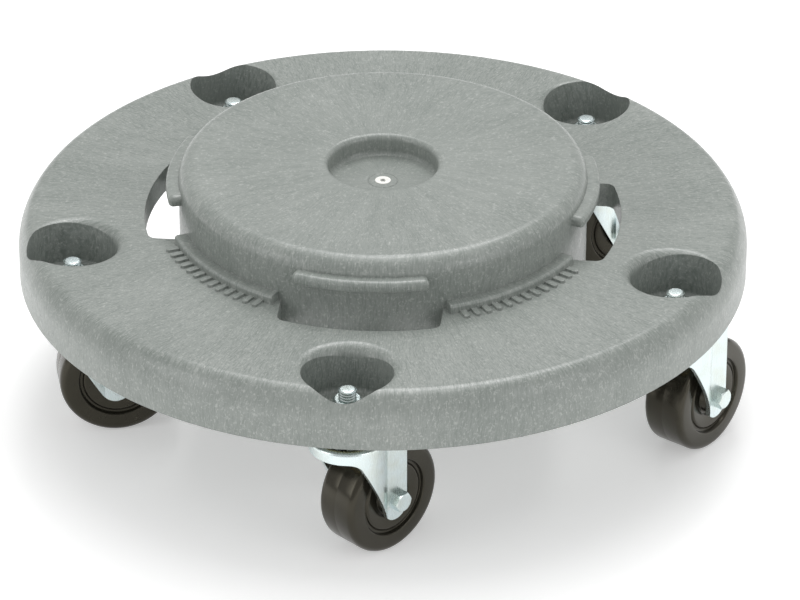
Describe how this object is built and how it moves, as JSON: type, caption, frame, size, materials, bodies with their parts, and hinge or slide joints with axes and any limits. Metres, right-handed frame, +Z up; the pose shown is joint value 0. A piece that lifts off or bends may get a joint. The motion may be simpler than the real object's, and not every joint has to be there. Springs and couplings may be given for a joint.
{
  "type": "container dolly",
  "caption": "Round moulded plastic dolly with a raised twist-lock platform on swivel casters, for wheeling a bucket or drum.",
  "frame": {"origin": "on the deck's axis at floor level", "axes": "+Z up; the front caster's kingpin lies on -Y; +X to the right"},
  "size_m": [0.4628, 0.46, 0.1662],
  "materials": {
    "deck_plastic": "grey structural plastic with pale flow streaks, satin",
    "zinc": "bright zinc-plated pressed steel, faintly blue",
    "zinc_dark": "zinc-plated steel filmed with bearing grease",
    "bearing_steel": "ground bearing steel",
    "hard_rubber": "hard black-brown rubber, glossy moulded sides"
  },
  "bodies": {
    "deck": {"deck": "deck_plastic", "stem_nuts": "zinc", "stem_washers": "zinc", "front_stem": "zinc", "front_upper_race": "zinc_dark", "front_lower_race": "zinc_dark", "right_stem": "zinc", "right_upper_race": "zinc_dark", "right_lower_race": "zinc_dark", "rear_right_stem": "zinc", "rear_right_upper_race": "zinc_dark", "rear_right_lower_race": "zinc_dark", "rear_left_stem": "zinc", "rear_left_upper_race": "zinc_dark", "rear_left_lower_race": "zinc_dark", "left_stem": "zinc", "left_upper_race": "zinc_dark", "left_lower_race": "zinc_dark"},
    "front_fork": {"front_fork": "zinc", "front_bushing": "bearing_steel", "front_axle_bolt": "zinc", "front_axle_nut": "zinc"},
    "front_wheel": {"front_wheel": "hard_rubber"},
    "front_balls": {"front_upper_balls": "bearing_steel", "front_lower_balls": "bearing_steel"},
    "right_fork": {"right_fork": "zinc", "right_bushing": "bearing_steel", "right_axle_bolt": "zinc", "right_axle_nut": "zinc"},
    "right_wheel": {"right_wheel": "hard_rubber"},
    "right_balls": {"right_upper_balls": "bearing_steel", "right_lower_balls": "bearing_steel"},
    "rear_right_fork": {"rear_right_fork": "zinc", "rear_right_bushing": "bearing_steel", "rear_right_axle_bolt": "zinc", "rear_right_axle_nut": "zinc"},
    "rear_right_wheel": {"rear_right_wheel": "hard_rubber"},
    "rear_right_balls": {"rear_right_upper_balls": "bearing_steel", "rear_right_lower_balls": "bearing_steel"},
    "rear_left_fork": {"rear_left_fork": "zinc", "rear_left_bushing": "bearing_steel", "rear_left_axle_bolt": "zinc", "rear_left_axle_nut": "zinc"},
    "rear_left_wheel": {"rear_left_wheel": "hard_rubber"},
    "rear_left_balls": {"rear_left_upper_balls": "bearing_steel", "rear_left_lower_balls": "bearing_steel"},
    "left_fork": {"left_fork": "zinc", "left_bushing": "bearing_steel", "left_axle_bolt": "zinc", "left_axle_nut": "zinc"},
    "left_wheel": {"left_wheel": "hard_rubber"},
    "left_balls": {"left_upper_balls": "bearing_steel", "left_lower_balls": "bearing_steel"}
  },
  "joints": [
    {"name": "front_swivel", "type": "hinge", "parent": "deck", "child": "front_fork", "pos_m": [0, -0.1986, 0.095], "axis": [0, 0, 1], "continuous": true},
    {"name": "front_roll", "type": "hinge", "parent": "front_fork", "child": "front_wheel", "pos_m": [0.01622, -0.17906, 0.037], "axis": [-0.7694, 0.6388, 0], "continuous": true},
    {"name": "front_ball_orbit", "type": "hinge", "parent": "deck", "child": "front_balls", "pos_m": [0, -0.1986, 0.095], "axis": [0, 0, 1], "continuous": true},
    {"name": "right_swivel", "type": "hinge", "parent": "deck", "child": "right_fork", "pos_m": [0.18888, -0.06137, 0.095], "axis": [0, 0, 1], "continuous": true},
    {"name": "right_roll", "type": "hinge", "parent": "right_fork", "child": "right_wheel", "pos_m": [0.20238, -0.03985, 0.037], "axis": [-0.8471, 0.5314, 0], "continuous": true},
    {"name": "right_ball_orbit", "type": "hinge", "parent": "deck", "child": "right_balls", "pos_m": [0.18888, -0.06137, 0.095], "axis": [0, 0, 1], "continuous": true},
    {"name": "rear_right_swivel", "type": "hinge", "parent": "deck", "child": "rear_right_fork", "pos_m": [0.11673, 0.16067, 0.095], "axis": [0, 0, 1], "continuous": true},
    {"name": "rear_right_roll", "type": "hinge", "parent": "rear_right_fork", "child": "rear_right_wheel", "pos_m": [0.14011, 0.17059, 0.037], "axis": [-0.3907, 0.9205, 0], "continuous": true},
    {"name": "rear_right_ball_orbit", "type": "hinge", "parent": "deck", "child": "rear_right_balls", "pos_m": [0.11673, 0.16067, 0.095], "axis": [0, 0, 1], "continuous": true},
    {"name": "rear_left_swivel", "type": "hinge", "parent": "deck", "child": "rear_left_fork", "pos_m": [-0.11673, 0.16067, 0.095], "axis": [0, 0, 1], "continuous": true},
    {"name": "rear_left_roll", "type": "hinge", "parent": "rear_left_fork", "child": "rear_left_wheel", "pos_m": [-0.09431, 0.17259, 0.037], "axis": [-0.4695, 0.8829, 0], "continuous": true},
    {"name": "rear_left_ball_orbit", "type": "hinge", "parent": "deck", "child": "rear_left_balls", "pos_m": [-0.11673, 0.16067, 0.095], "axis": [0, 0, 1], "continuous": true},
    {"name": "left_swivel", "type": "hinge", "parent": "deck", "child": "left_fork", "pos_m": [-0.18888, -0.06137, 0.095], "axis": [0, 0, 1], "continuous": true},
    {"name": "left_roll", "type": "hinge", "parent": "left_fork", "child": "left_wheel", "pos_m": [-0.16438, -0.05467, 0.037], "axis": [-0.2639, 0.9646, 0], "continuous": true},
    {"name": "left_ball_orbit", "type": "hinge", "parent": "deck", "child": "left_balls", "pos_m": [-0.18888, -0.06137, 0.095], "axis": [0, 0, 1], "continuous": true}
  ],
  "couplings": [
    {"joint": "front_ball_orbit", "follows": "front_swivel", "ratio": 0.5},
    {"joint": "right_ball_orbit", "follows": "right_swivel", "ratio": 0.5},
    {"joint": "rear_right_ball_orbit", "follows": "rear_right_swivel", "ratio": 0.5},
    {"joint": "rear_left_ball_orbit", "follows": "rear_left_swivel", "ratio": 0.5},
    {"joint": "left_ball_orbit", "follows": "left_swivel", "ratio": 0.5}
  ]
}
